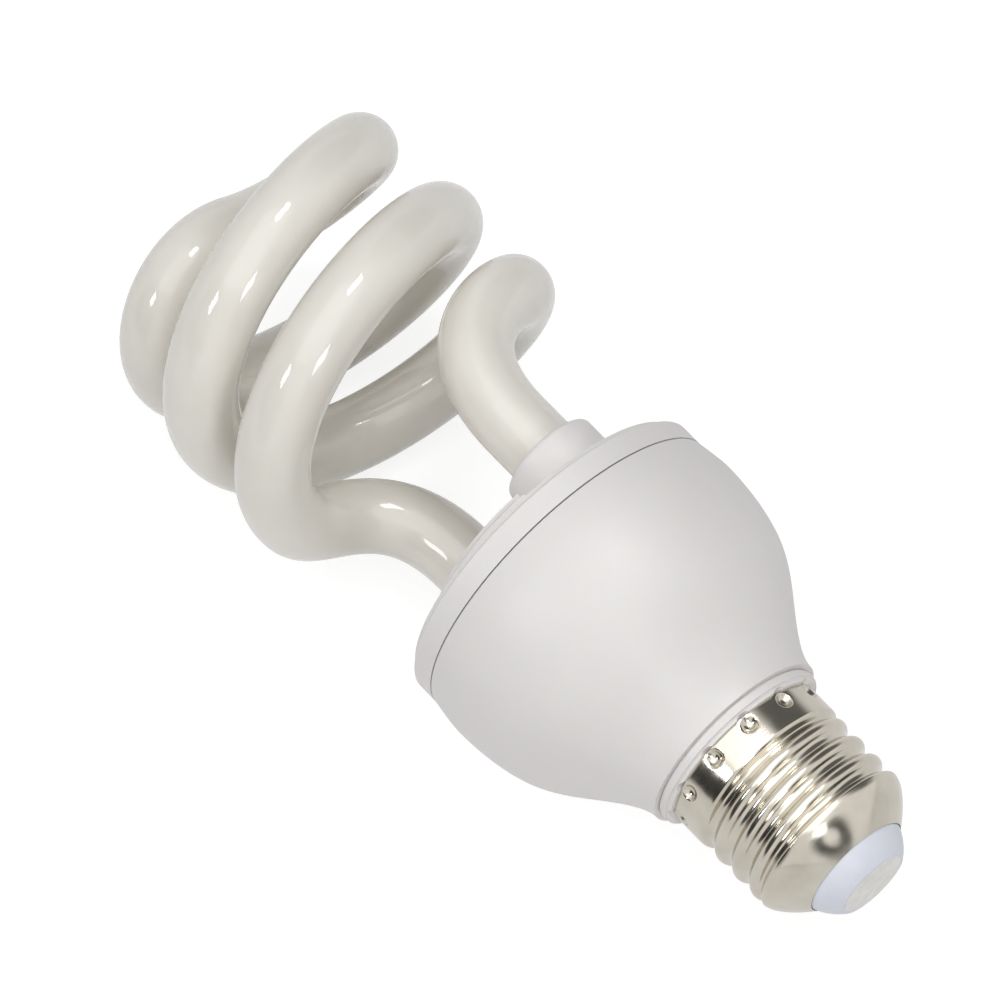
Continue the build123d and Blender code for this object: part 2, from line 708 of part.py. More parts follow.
def make_circuit_board():
    """Round board with a hole for every lead and every wire post."""
    width = transistor_size[0] / 3
    places = [Vector(*cord_place), Vector(*shell_lead_place), *choke_pins(), *start_capacitor_leads()]
    places += [at for x, y, turn in transistor_places for at in row((x, y), width, 3, turn)]
    places += row(resonant_place, resonant_size[0] * 0.7) + row(coupling_place, coupling_size[0] * 0.7)
    places += row(bulk_place, bulk_radius) + row(input_choke_place, input_choke_radius)
    places += [at for angle in drive_winding_angles for at in drive_leads(angle)]
    for size, angles in standing_parts.values():
        places += [at for angle in angles for at in stand_leads(size[0], angle)]
    board = Sketch() + Circle(board_radius)
    board -= [Pos(at) * Circle(lead_radius + lead_clearance) for at in places]
    board -= [Pos(at) * Rot(0, 0, turn) * Rectangle(post_width + 2 * lead_clearance, post_width + 2 * lead_clearance)
              for _, at, turn in post_places()]
    return extrude(Pos(0, 0, board_underside) * board, amount=board_thickness)


standing_parts = {
    "diode": (diode_size, diode_angles),
    "resistor": (resistor_size, resistor_angles),
    "fuse_resistor": (fuse_resistor_size, (fuse_resistor_angle,)),
    "diac": (diac_size, (diac_angle,)),
}

pieces = {
    "discharge_tube": make_discharge_tube(),
    "tube_cement_1": make_tube_cement(leg_centre),
    "tube_cement_2": make_tube_cement(-leg_centre),
    "tube_holder": make_tube_holder(),
    "lower_housing": make_lower_housing(),
    "cap_shell": make_cap_shell(),
    "cap_insulator": make_cap_insulator(),
    "centre_contact": make_centre_contact(),
    "centre_lead": make_centre_lead(),
    "shell_lead": make_shell_lead(),
    "circuit_board": make_circuit_board(),
    "choke_core_1": make_choke_core(upper=False),
    "choke_core_2": make_choke_core(upper=True),
    "choke_bobbin": make_choke_bobbin(),
    "choke_winding": make_choke_winding(),
    "drive_core": drive_ring(0),
    "bulk_capacitor": make_bulk_capacitor(),
    "resonant_capacitor": boxed_part(resonant_size, resonant_place, resonant_size[0] * 0.7),
    "coupling_capacitor": boxed_part(coupling_size, coupling_place, coupling_size[0] * 0.7),
    "start_capacitor": make_start_capacitor(),
    "input_choke_core": make_input_choke_core(),
    "input_choke_winding": make_input_choke_winding(),
}
for number, (leg, place, turn) in enumerate(post_places(), 1):
    pieces[f"wire_post_{number}"] = make_wire_post(place, turn)
    pieces[f"filament_lead_{number}"] = make_filament_lead(leg, place)
for number, place in enumerate(transistor_places, 1):
    pieces[f"transistor_{number}"] = make_transistor(*place)
for number, angle in enumerate(drive_winding_angles, 1):
    pieces[f"drive_winding_{number}"] = make_drive_winding(angle)
for name, (size, angles) in standing_parts.items():
    for number, angle in enumerate(angles, 1):
        pieces[f"{name}_{number}" if len(angles) > 1 else name] = standing_part(*size, angle)

# Lay the lamp down: its axis becomes +X and its up side +Z
lying = Plane(origin=(0, 0, 0), x_dir=(0, 0, 1), z_dir=(1, 0, 0)).location
os.makedirs("parts", exist_ok=True)
for name, solid in pieces.items():
    export_step(lying * solid, f"parts/{name}.step")
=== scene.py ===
# %% [markdown]
# # A spiral UVB lamp, dressed for its picture
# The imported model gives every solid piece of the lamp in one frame: X runs along the lamp from the
# contact at its cap, and Z is up. This lesson puts the visible skin over it. The glass tube and the
# screw cap are made with Geometry Nodes, because both follow a rule. The two plastic mouldings, the
# insulator and the contact are smooth copies of their solids, and everything inside keeps its solid
# and gets its material.

# %% Load the frame
import json
import math

import bmesh
import bpy
from mathutils import Matrix, Vector


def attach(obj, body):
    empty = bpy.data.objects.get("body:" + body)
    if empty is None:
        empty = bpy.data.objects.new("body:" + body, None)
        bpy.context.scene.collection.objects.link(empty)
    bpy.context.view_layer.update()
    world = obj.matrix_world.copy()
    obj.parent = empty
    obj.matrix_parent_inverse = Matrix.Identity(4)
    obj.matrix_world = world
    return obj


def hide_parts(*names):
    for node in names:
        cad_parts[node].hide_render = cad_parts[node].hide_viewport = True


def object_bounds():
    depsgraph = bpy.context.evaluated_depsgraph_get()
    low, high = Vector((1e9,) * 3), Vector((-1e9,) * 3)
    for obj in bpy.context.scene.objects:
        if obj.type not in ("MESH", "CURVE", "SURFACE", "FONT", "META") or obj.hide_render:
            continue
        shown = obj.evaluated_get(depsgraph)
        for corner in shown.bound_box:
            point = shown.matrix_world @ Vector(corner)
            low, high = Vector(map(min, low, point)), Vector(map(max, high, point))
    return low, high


MM = 0.001
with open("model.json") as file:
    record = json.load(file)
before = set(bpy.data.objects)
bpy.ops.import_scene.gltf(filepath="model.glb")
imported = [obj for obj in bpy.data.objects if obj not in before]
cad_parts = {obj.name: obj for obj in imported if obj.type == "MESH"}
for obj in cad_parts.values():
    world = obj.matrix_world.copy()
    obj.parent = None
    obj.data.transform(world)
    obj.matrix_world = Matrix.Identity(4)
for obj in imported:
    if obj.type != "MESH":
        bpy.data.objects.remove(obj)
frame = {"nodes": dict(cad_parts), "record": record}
cad_low, cad_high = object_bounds()
scene = bpy.context.scene
print("CAD box in mm:", [round(v / MM, 1) for v in (*cad_low, *cad_high)])

# %% [markdown]
# ## The camera
# The photograph looks down on the lamp from above its cap end. Camera and lamp share the frame's
# millimetres, so the view is one matrix: its columns are the picture's right, its up, and the way
# back from the lamp to the camera. The long lens keeps the cap and the spiral nearly the same scale.

# %% Place the camera
CAMERA_PLACE = Vector((-310.84, 345.13, 1093.26)) * MM
VIEW_RIGHT = Vector((-0.66254, -0.74903, 0.0))
VIEW_UP = Vector((0.67606, -0.59799, 0.43053))
FOCAL_PIXELS = 8466
PICTURE_PIXELS = 1000
SENSOR_WIDTH = 36.0
NEAREST, FARTHEST = 0.05, 20.0

camera_data = bpy.data.cameras.new("photo_camera")
camera = bpy.data.objects.new("photo_camera", camera_data)
scene.collection.objects.link(camera)
view_back = VIEW_RIGHT.cross(VIEW_UP)
turn = Matrix((VIEW_RIGHT, VIEW_UP, view_back)).transposed()
camera.matrix_world = Matrix.Translation(CAMERA_PLACE) @ turn.to_4x4()
camera_data.sensor_width = SENSOR_WIDTH
camera_data.lens = SENSOR_WIDTH * FOCAL_PIXELS / PICTURE_PIXELS
camera_data.clip_start, camera_data.clip_end = NEAREST, FARTHEST
scene.camera = camera
print("lens in mm:", round(camera_data.lens, 1))

# %% [markdown]
# ## Small helpers for node trees
# Every material and every Geometry Nodes tree below is wired by the same two short helpers: one adds
# a node with its settings and its inputs, the other gives a formula its Math node. A value that is a
# socket is linked, and any other value is written into the input.


# %% Wire nodes
def add_node(tree, kind, inputs=None, **settings):
    """New node with its settings, and its inputs linked or filled in by name or number."""
    node = tree.nodes.new(kind)
    for name, value in settings.items():
        setattr(node, name, value)
    for key, value in (inputs or {}).items():
        if isinstance(value, bpy.types.NodeSocket):
            tree.links.new(value, node.inputs[key])
        else:
            node.inputs[key].default_value = value
    return node


def formula(tree, operation, *values):
    """Output of one Math node."""
    kind = "ShaderNodeMath"
    return add_node(tree, kind, dict(enumerate(values)), operation=operation).outputs[0]


def add_sockets(tree, inputs, outputs):
    """Named sockets of a node group, with the default value of each number."""
    for name, kind, value in inputs:
        socket = tree.interface.new_socket(name, in_out="INPUT", socket_type=kind)
        if value is not None:
            socket.default_value = value
    for name, kind in outputs:
        tree.interface.new_socket(name, in_out="OUTPUT", socket_type=kind)
    return tree.nodes.new("NodeGroupInput"), tree.nodes.new("NodeGroupOutput")


print("helpers ready")

# %% [markdown]
# ## Surface effects that several finishes share
# No real surface is one flat value. Moulded plastic has a faint orange-peel texture, metal has fine
# rolling lines, and everything is a little uneven in gloss. Each effect is a group, built once, that
# puts out a value between 0 and 1. The material decides what that value does.


# %% Build the shared groups
def mottle_group():
    """Soft cloudy variation at one size, for colour, gloss or a shallow bump."""
    tree = bpy.data.node_groups.new("mottle", "ShaderNodeTree")
    inside, outside = add_sockets(
        tree,
        [("Vector", "NodeSocketVector", None), ("Size mm", "NodeSocketFloat", 1.0),
         ("Detail", "NodeSocketFloat", 3.0), ("Contrast", "NodeSocketFloat", 1.0)],
        [("Value", "NodeSocketFloat")],
    )
    scale = formula(tree, "DIVIDE", 1 / MM, inside.outputs["Size mm"])
    noise = add_node(tree, "ShaderNodeTexNoise", {
        "Vector": inside.outputs["Vector"], "Scale": scale, "Detail": inside.outputs["Detail"]})
    centred = formula(tree, "SUBTRACT", noise.outputs["Fac"], 0.5)
    value = formula(tree, "MULTIPLY_ADD", centred, inside.outputs["Contrast"], 0.5)
    clamp = add_node(tree, "ShaderNodeClamp", {"Value": value})
    tree.links.new(clamp.outputs[0], outside.inputs["Value"])
    return tree


def lines_group():
    """Fine rings round the lamp's axis, as rolling and turning leave them on metal."""
    tree = bpy.data.node_groups.new("turning_lines", "ShaderNodeTree")
    inside, outside = add_sockets(
        tree,
        [("Vector", "NodeSocketVector", None), ("Spacing mm", "NodeSocketFloat", 0.1),
         ("Length", "NodeSocketFloat", 60.0)],
        [("Value", "NodeSocketFloat")],
    )
    parts = add_node(tree, "ShaderNodeSeparateXYZ", {0: inside.outputs["Vector"]})
    spacing = formula(tree, "MULTIPLY", inside.outputs["Spacing mm"], MM)
    along = formula(tree, "DIVIDE", parts.outputs["X"], spacing)
    across = formula(tree, "DIVIDE", 1 / MM, inside.outputs["Length"])
    place = add_node(tree, "ShaderNodeCombineXYZ", {
        "X": along,
        "Y": formula(tree, "MULTIPLY", parts.outputs["Y"], across),
        "Z": formula(tree, "MULTIPLY", parts.outputs["Z"], across)})
    noise = add_node(tree, "ShaderNodeTexNoise", {"Vector": place.outputs[0], "Scale": 1.0, "Detail": 2.0})
    tree.links.new(noise.outputs["Fac"], outside.inputs["Value"])
    return tree


groups = {"mottle": mottle_group(), "lines": lines_group()}
print("shared groups:", sorted(groups))


# %% Start a material
def start_material(name, roughness, **sockets):
    """Material with a Principled shader, its plain sockets filled in, and object coordinates."""
    material = bpy.data.materials.new(name)
    material.use_nodes = True
    tree = material.node_tree
    shader = next(node for node in tree.nodes if node.type == "BSDF_PRINCIPLED")
    shader.inputs["Roughness"].default_value = roughness
    for socket, value in sockets.items():
        shader.inputs[socket.replace("_", " ")].default_value = value
    place = add_node(tree, "ShaderNodeTexCoord").outputs["Object"]
    return material, tree, shader, place


def group_value(tree, group, place, **inputs):
    """Value of a shared group at the surface's own place."""
    node = add_node(tree, "ShaderNodeGroup", node_tree=groups[group])
    tree.links.new(place, node.inputs["Vector"])
    for name, value in inputs.items():
        node.inputs[name.replace("_", " ")].default_value = value
    return node.outputs["Value"]


def colour_between(tree, value, low, high):
    """Colour that goes from low to high as the value goes from 0 to 1."""
    mix = add_node(tree, "ShaderNodeMix", data_type="RGBA")
    tree.links.new(value, mix.inputs["Factor"])
    mix.inputs["A"].default_value = (*low, 1.0)
    mix.inputs["B"].default_value = (*high, 1.0)
    return mix.outputs["Result"]


def number_between(tree, value, low, high):
    """Number that goes from low to high as the value goes from 0 to 1."""
    return add_node(tree, "ShaderNodeMapRange", {"Value": value, "To Min": low, "To Max": high}).outputs[0]


def add_bump(tree, shader, height, depth_mm, normal=None):
    """Bump of a real depth, over another bump where one is given."""
    bump = add_node(tree, "ShaderNodeBump", {"Height": height, "Distance": depth_mm * MM})
    if normal is not None:
        tree.links.new(normal, bump.inputs["Normal"])
    tree.links.new(bump.outputs[0], shader.inputs["Normal"])
    return bump.outputs[0]


print("material helpers ready")

# %% [markdown]
# ## Opal glass
# The tube is clear UV glass with a white powder on its inner wall. The powder is what has the
# colour, a warm grey white, and the glass over it is a hard clear gloss. The coat of the Principled
# shader is that glass: its tint takes more light where the wall is seen at a slant, as the greyer
# edges of the real tube show. A little light travels inside the powder, which softens the shade.

# %% Opal glass material
def opal_glass():
    """Warm white powder under a hard clear coat."""
    material, tree, shader, place = start_material(
        "opal_glass", 0.5, Coat_Weight=1.0, Coat_Roughness=0.02, Coat_IOR=1.5,
        Coat_Tint=(0.985, 0.98, 0.965, 1.0), Subsurface_Weight=0.3, Subsurface_Scale=3.0 * MM)
    shader.inputs["Subsurface Radius"].default_value = (1.0, 0.95, 0.85)
    powder = group_value(tree, "mottle", place, Size_mm=9.0, Detail=4.0, Contrast=1.5)
    tree.links.new(colour_between(tree, powder, (0.80, 0.775, 0.72), (0.86, 0.84, 0.79)),
                   shader.inputs["Base Color"])
    ripple = group_value(tree, "mottle", place, Size_mm=14.0, Detail=1.0)
    add_bump(tree, shader, ripple, 0.25)
    return material


# %% [markdown]
# ## Moulded plastic
# Both mouldings are white flame-safe plastic with a satin skin. Their texture is finer than the eye
# reads at arm's length, but it breaks up the highlights, and broad faint clouds keep the large
# shoulder from looking like paper.

# %% Moulded plastic material
def moulded_plastic():
    """Satin white with a fine peel and faint clouds."""
    material, tree, shader, place = start_material(
        "moulded_plastic", 0.42, Subsurface_Weight=0.08, Subsurface_Scale=1.5 * MM)
    clouds = group_value(tree, "mottle", place, Size_mm=16.0, Detail=3.0, Contrast=1.4)
    tree.links.new(colour_between(tree, clouds, (0.80, 0.775, 0.765), (0.835, 0.812, 0.80)),
                   shader.inputs["Base Color"])
    gloss = group_value(tree, "mottle", place, Size_mm=2.5, Detail=4.0)
    tree.links.new(number_between(tree, gloss, 0.36, 0.50), shader.inputs["Roughness"])
    peel = group_value(tree, "mottle", place, Size_mm=0.35, Detail=2.0)
    add_bump(tree, shader, peel, 0.012)
    return material


# %% [markdown]
# ## Nickel on the cap
# The cap is rolled from thin brass sheet and nickel plated, so it is bright and warm, with faint
# lines round it from the rolls. Handling dulls it in patches. The lines go in the bump and in the
# gloss, and the patches only in the gloss.

# %% Nickel material
def cap_nickel():
    """Warm bright metal with rolling lines and duller patches."""
    material, tree, shader, place = start_material("cap_nickel", 0.16, Metallic=1.0)
    handled = group_value(tree, "mottle", place, Size_mm=5.0, Detail=5.0, Contrast=1.8)
    tree.links.new(colour_between(tree, handled, (0.54, 0.505, 0.43), (0.68, 0.64, 0.56)),
                   shader.inputs["Base Color"])
    rolled = group_value(tree, "lines", place, Spacing_mm=0.12, Length=40.0)
    gloss = formula(tree, "MULTIPLY_ADD", handled, 0.5, formula(tree, "MULTIPLY", rolled, 0.5))
    tree.links.new(number_between(tree, gloss, 0.08, 0.26), shader.inputs["Roughness"])
    fine = add_bump(tree, shader, rolled, 0.006)
    uneven = group_value(tree, "mottle", place, Size_mm=3.5, Detail=1.0)
    add_bump(tree, shader, uneven, 0.05, normal=fine)
    return material


# %% Tinned contact and insulator materials
def contact_tin():
    """Pale worn tin, much duller than the cap."""
    material, tree, shader, place = start_material("contact_tin", 0.38, Metallic=1.0)
    worn = group_value(tree, "mottle", place, Size_mm=1.6, Detail=5.0, Contrast=1.8)
    tree.links.new(colour_between(tree, worn, (0.66, 0.65, 0.62), (0.86, 0.85, 0.82)),
                   shader.inputs["Base Color"])
    tree.links.new(number_between(tree, worn, 0.28, 0.5), shader.inputs["Roughness"])
    add_bump(tree, shader, worn, 0.04)
    return material


def glazed_insulator():
    """Bluish white body under a thin soft glaze."""
    material, tree, shader, place = start_material(
        "glazed_insulator", 0.42, Coat_Weight=0.15, Coat_Roughness=0.30, Subsurface_Weight=0.1,
        Subsurface_Scale=1.0 * MM)
    glaze = group_value(tree, "mottle", place, Size_mm=2.2, Detail=3.0)
    tree.links.new(colour_between(tree, glaze, (0.74, 0.77, 0.86), (0.80, 0.825, 0.90)),
                   shader.inputs["Base Color"])
    add_bump(tree, shader, glaze, 0.02)
    return material


# %% [markdown]
# ## What is inside
# Nobody sees the ballast until the housing is cut open, but each of its pieces has its own finish:
# tan board, grey ferrite, lacquered copper, shrink sleeve, dipped film and black resin. One recipe
# covers them all, with two colours, a range of gloss and the size and depth of its texture. Windings
# add fine lines for their turns of wire.

# %% Inner materials
INNER_FINISHES = {
    # slot: (colour low, colour high, roughness low, high, metallic, texture mm, depth mm, wire mm)
    "tube_cement": ((0.74, 0.72, 0.67), (0.84, 0.82, 0.77), 0.70, 0.95, 0.0, 0.8, 0.10, None),
    "cord_sheath": ((0.66, 0.64, 0.60), (0.74, 0.72, 0.68), 0.35, 0.50, 0.0, 1.5, 0.01, None),
    "wire_metal": ((0.60, 0.60, 0.58), (0.76, 0.76, 0.73), 0.22, 0.42, 1.0, 0.6, 0.01, None),
    "board": ((0.50, 0.38, 0.20), (0.60, 0.47, 0.26), 0.50, 0.70, 0.0, 1.2, 0.01, None),
    "ferrite": ((0.035, 0.035, 0.038), (0.07, 0.07, 0.073), 0.45, 0.70, 0.0, 0.5, 0.02, None),
    "bobbin_plastic": ((0.020, 0.020, 0.020), (0.035, 0.035, 0.035), 0.35, 0.50, 0.0, 1.0, 0.01, None),
    "copper_winding": ((0.50, 0.17, 0.06), (0.66, 0.27, 0.11), 0.20, 0.34, 1.0, 2.0, 0.02, 0.35),
    "can_sleeve": ((0.012, 0.018, 0.045), (0.022, 0.030, 0.070), 0.22, 0.36, 0.0, 3.0, 0.02, None),
    "film_capacitor": ((0.30, 0.045, 0.025), (0.40, 0.070, 0.035), 0.16, 0.30, 0.0, 2.0, 0.05, None),
    "disc_capacitor": ((0.50, 0.24, 0.06), (0.62, 0.32, 0.09), 0.40, 0.60, 0.0, 0.9, 0.04, None),
    "transistor_case": ((0.010, 0.010, 0.010), (0.022, 0.022, 0.022), 0.45, 0.65, 0.0, 0.4, 0.01, None),
    "diode_case": ((0.010, 0.010, 0.010), (0.020, 0.020, 0.020), 0.30, 0.45, 0.0, 0.6, 0.01, None),
    "resistor_body": ((0.56, 0.42, 0.24), (0.66, 0.51, 0.31), 0.35, 0.50, 0.0, 1.0, 0.02, None),
    "glass_diode": ((0.42, 0.12, 0.04), (0.54, 0.18, 0.07), 0.10, 0.20, 0.0, 1.2, 0.01, None),
}


def inner_material(slot):
    """Finish of an inner piece from its row in the table."""
    low, high, smooth, rough, metallic, size, depth, wire = INNER_FINISHES[slot]
    material, tree, shader, place = start_material(slot, rough, Metallic=metallic)
    value = group_value(tree, "mottle", place, Size_mm=size, Detail=4.0, Contrast=1.6)
    tree.links.new(colour_between(tree, value, low, high), shader.inputs["Base Color"])
    tree.links.new(number_between(tree, value, smooth, rough), shader.inputs["Roughness"])
    normal = add_bump(tree, shader, value, depth)
    if wire:
        turns = group_value(tree, "lines", place, Spacing_mm=wire, Length=400.0)
        add_bump(tree, shader, turns, wire / 3, normal=normal)
    return material


materials = {
    "opal_glass": opal_glass(), "housing_plastic": moulded_plastic(), "cap_metal": cap_nickel(),
    "contact_metal": contact_tin(), "insulator": glazed_insulator(),
}
materials.update({slot: inner_material(slot) for slot in INNER_FINISHES})
slot_of = {row["node"]: row["material_slot"] for row in frame["record"]["subparts"]}
for name, node in frame["nodes"].items():
    node.data.materials.clear()
    node.data.materials.append(materials[slot_of[name]])
print("materials:", len(materials), "nodes:", len(frame["nodes"]))

# %% [markdown]
# ## The glass tube
# The tube is one long glass pipe, bent hot: a straight leg, a bend, one strand of a helix, half of
# the bridge over the tip, and then all of it again, turned half round. Its solid is right but its
# facets show in the gloss. Here the same centre line is drawn in Geometry Nodes from a line, two
# Bezier segments and a spiral, and swept with a round profile, so each strand shades smoothly.

# %% Sizes of the tube
TUBE_RADIUS = 5.5
COIL_RADIUS = 22.9
COIL_PITCH = 31.3
COIL_SIDE_HEIGHT = 100.4
COIL_SIDE_ANGLE = 71.8
COIL_START_ANGLE = -2.5
COIL_END_ANGLE = 326.8
LEG_CIRCLE_RADIUS = 17.2
LEG_ANGLE = 15.7
LEG_TOP = 81.2
LEG_BOTTOM = 61.9
LEG_PULL = 18.5
COIL_START_PULL = 9.1
COIL_END_PULL = 15.8
BRIDGE_HEIGHT = 137.5
BRIDGE_PULL = 18.0
BRIDGE_ANGLE = 307.9
PINCH_LENGTH = 2.4
PINCH_RADIUS = 3.0
TUBE_RINGS, TUBE_SIDES = 700, 56
SPIRAL_STEPS, BEND_STEPS, BRIDGE_STEPS = 240, 90, 120
TUBE_JOIN = 0.01


def around(radius, angle, height=0.0):
    """Point about the tube's own upright axis, in millimetres."""
    return Vector((radius * math.cos(math.radians(angle)), radius * math.sin(math.radians(angle)), height))


def coil_point(angle):
    """Point and direction of the helix at an angle past its side view."""
    turn_angle = COIL_SIDE_ANGLE + angle
    climb = COIL_PITCH / 360
    point = around(COIL_RADIUS, turn_angle, COIL_SIDE_HEIGHT + climb * angle)
    direction = around(COIL_RADIUS * math.radians(1), turn_angle + 90, climb)
    return point, direction.normalized()


coil_start, start_way = coil_point(COIL_START_ANGLE)
coil_end, end_way = coil_point(COIL_END_ANGLE)
leg_foot = around(LEG_CIRCLE_RADIUS, LEG_ANGLE, LEG_BOTTOM)
leg_head = around(LEG_CIRCLE_RADIUS, LEG_ANGLE, LEG_TOP)
summit = Vector((0, 0, BRIDGE_HEIGHT))
print("helix from", [round(v, 1) for v in coil_start], "to", [round(v, 1) for v in coil_end])


# %% Tree for the tube
def tube_tree():
    """Centre line of half the tube, its turned copy, and a round profile along both."""
    tree = bpy.data.node_groups.new("bent_tube", "GeometryNodeTree")
    inside, outside = add_sockets(
        tree,
        [("Geometry", "NodeSocketGeometry", None), ("Tube radius", "NodeSocketFloat", TUBE_RADIUS),
         ("Pitch", "NodeSocketFloat", COIL_PITCH), ("Coil radius", "NodeSocketFloat", COIL_RADIUS),
         ("Rings", "NodeSocketInt", TUBE_RINGS), ("Sides", "NodeSocketInt", TUBE_SIDES),
         ("Material", "NodeSocketMaterial", None)],
        [("Geometry", "NodeSocketGeometry")],
    )
    sweep = COIL_END_ANGLE - COIL_START_ANGLE
    climb = formula(tree, "MULTIPLY", inside.outputs["Pitch"], sweep / 360)
    spiral = add_node(tree, "GeometryNodeCurveSpiral", {
        "Resolution": SPIRAL_STEPS, "Rotations": sweep / 360, "Start Radius": inside.outputs["Coil radius"],
        "End Radius": inside.outputs["Coil radius"], "Height": climb, "Reverse": True})
    spiral = add_node(tree, "GeometryNodeTransform", {
        "Geometry": spiral.outputs[0], "Translation": (0, 0, coil_start.z),
        "Rotation": (0, 0, math.radians(COIL_SIDE_ANGLE + COIL_START_ANGLE))})
    leg = add_node(tree, "GeometryNodeCurvePrimitiveLine", {"Start": leg_foot, "End": leg_head})
    bend = add_node(tree, "GeometryNodeCurvePrimitiveBezierSegment", {
        "Resolution": BEND_STEPS, "Start": leg_head, "Start Handle": leg_head + Vector((0, 0, LEG_PULL)),
        "End Handle": coil_start - start_way * COIL_START_PULL, "End": coil_start})
    bridge = add_node(tree, "GeometryNodeCurvePrimitiveBezierSegment", {
        "Resolution": BRIDGE_STEPS, "Start": coil_end, "Start Handle": coil_end + end_way * COIL_END_PULL,
        "End Handle": summit - around(BRIDGE_PULL, BRIDGE_ANGLE), "End": summit})
    half = add_node(tree, "GeometryNodeJoinGeometry")
    for piece in (leg, bend, spiral, bridge):
        wire = add_node(tree, "GeometryNodeCurveToMesh", {"Curve": piece.outputs[0]})
        tree.links.new(wire.outputs[0], half.inputs[0])
    other = add_node(tree, "GeometryNodeTransform", {
        "Geometry": half.outputs[0], "Rotation": (0, 0, math.pi)})
    both = add_node(tree, "GeometryNodeJoinGeometry")
    tree.links.new(half.outputs[0], both.inputs[0])
    tree.links.new(other.outputs[0], both.inputs[0])
    joined = add_node(tree, "GeometryNodeMergeByDistance", {
        "Geometry": both.outputs[0], "Distance": TUBE_JOIN})
    path = add_node(tree, "GeometryNodeMeshToCurve", {"Mesh": joined.outputs[0]})
    path = add_node(tree, "GeometryNodeResampleCurve", {
        "Curve": path.outputs[0], "Count": inside.outputs["Rings"]})
    length = add_node(tree, "GeometryNodeSplineParameter").outputs["Length"]
    whole = add_node(tree, "GeometryNodeSplineLength").outputs["Length"]
    from_end = formula(tree, "MINIMUM", length, formula(tree, "SUBTRACT", whole, length))
    pinch = add_node(tree, "ShaderNodeMapRange", {
        "Value": from_end, "From Min": 0.0, "From Max": PINCH_LENGTH,
        "To Min": PINCH_RADIUS / TUBE_RADIUS, "To Max": 1.0}, interpolation_type="SMOOTHSTEP")
    width = formula(tree, "MULTIPLY", pinch.outputs[0], inside.outputs["Tube radius"])
    profile = add_node(tree, "GeometryNodeCurvePrimitiveCircle", {
        "Resolution": inside.outputs["Sides"], "Radius": 1.0})
    tube = add_node(tree, "GeometryNodeCurveToMesh", {
        "Curve": path.outputs[0], "Profile Curve": profile.outputs[0], "Scale": width, "Fill Caps": True})
    placed = add_node(tree, "GeometryNodeSetMaterial", {
        "Geometry": add_node(tree, "GeometryNodeRealizeInstances", {0: tube.outputs[0]}).outputs[0],
        "Material": inside.outputs["Material"]})
    tree.links.new(placed.outputs[0], outside.inputs[0])
    return tree


def lay_down(mesh):
    """Turn a mesh made in millimetres about an upright axis into the frame's metres, axis along X."""
    lying = Matrix(((0, 0, MM, 0), (0, -MM, 0, 0), (MM, 0, 0, 0), (0, 0, 0, 1)))
    mesh.transform(lying)
    return mesh


def mesh_from_tree(name, tree, values):
    """Run a tree with its named inputs, and keep the result as a plain mesh in the frame."""
    start = bpy.data.meshes.new(name)
    piece = bpy.data.objects.new(name, start)
    scene.collection.objects.link(piece)
    modifier = piece.modifiers.new("nodes", "NODES")
    modifier.node_group = tree
    for item in tree.interface.items_tree:
        if item.in_out == "INPUT" and item.name in values:
            modifier[item.identifier] = values[item.name]
    bpy.context.view_layer.update()
    evaluated = piece.evaluated_get(bpy.context.evaluated_depsgraph_get())
    mesh = bpy.data.meshes.new_from_object(evaluated)
    piece.modifiers.clear()
    piece.data = lay_down(mesh)
    return piece


def face_outwards(mesh, merge_mm=0.0):
    """Merge doubled points where asked, and point every face out of the solid."""
    shape = bmesh.new()
    shape.from_mesh(mesh)
    if merge_mm:
        bmesh.ops.remove_doubles(shape, verts=shape.verts, dist=merge_mm * MM)
    bmesh.ops.recalc_face_normals(shape, faces=shape.faces)
    if shape.calc_volume(signed=True) < 0:
        bmesh.ops.reverse_faces(shape, faces=shape.faces)
    open_edges = sum(1 for edge in shape.edges if not edge.is_manifold)
    volume = shape.calc_volume() / MM**3
    shape.to_mesh(mesh)
    shape.free()
    return open_edges, volume


def shade_smooth(mesh, corner_degrees):
    """Smooth shading, with an edge kept wherever two faces meet at more than an angle."""
    mesh.polygons.foreach_set("use_smooth", [True] * len(mesh.polygons))
    mesh.set_sharp_from_angle(angle=math.radians(corner_degrees))


def dress(piece, node, corner_degrees=35, merge_mm=0.0):
    """Finish a visible piece: outward faces, shading, material, its body and the node it replaces."""
    open_edges, volume = face_outwards(piece.data, merge_mm)
    shade_smooth(piece.data, corner_degrees)
    piece.data.materials.clear()
    piece.data.materials.append(materials[slot_of[node]])
    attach(piece, "root")
    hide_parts(node)
    print(f"{piece.name}: {len(piece.data.polygons)} faces, open edges {open_edges}, {volume:.0f} mm3")


glass_tube = mesh_from_tree("glass_tube", tube_tree(), {"Material": materials["opal_glass"]})
dress(glass_tube, "discharge_tube", merge_mm=0.001)

# %% [markdown]
# ## The screw cap
# A cap like this is drawn from sheet and its thread is rolled in, so crest and root are the same
# round curve. The rule is a radius for each height and angle. A flat grid gets its points from that
# rule: the cone below, the thread, the plain skirt above, and a ring of dents stamped into the skirt
# to grip the plastic. The cone swells a little between its ends, so that a reflection on it can be
# round. The grid's first rows climb the outside, and the rest come back down the inside, one sheet's
# thickness further in, with fewer rows because nothing is seen there.

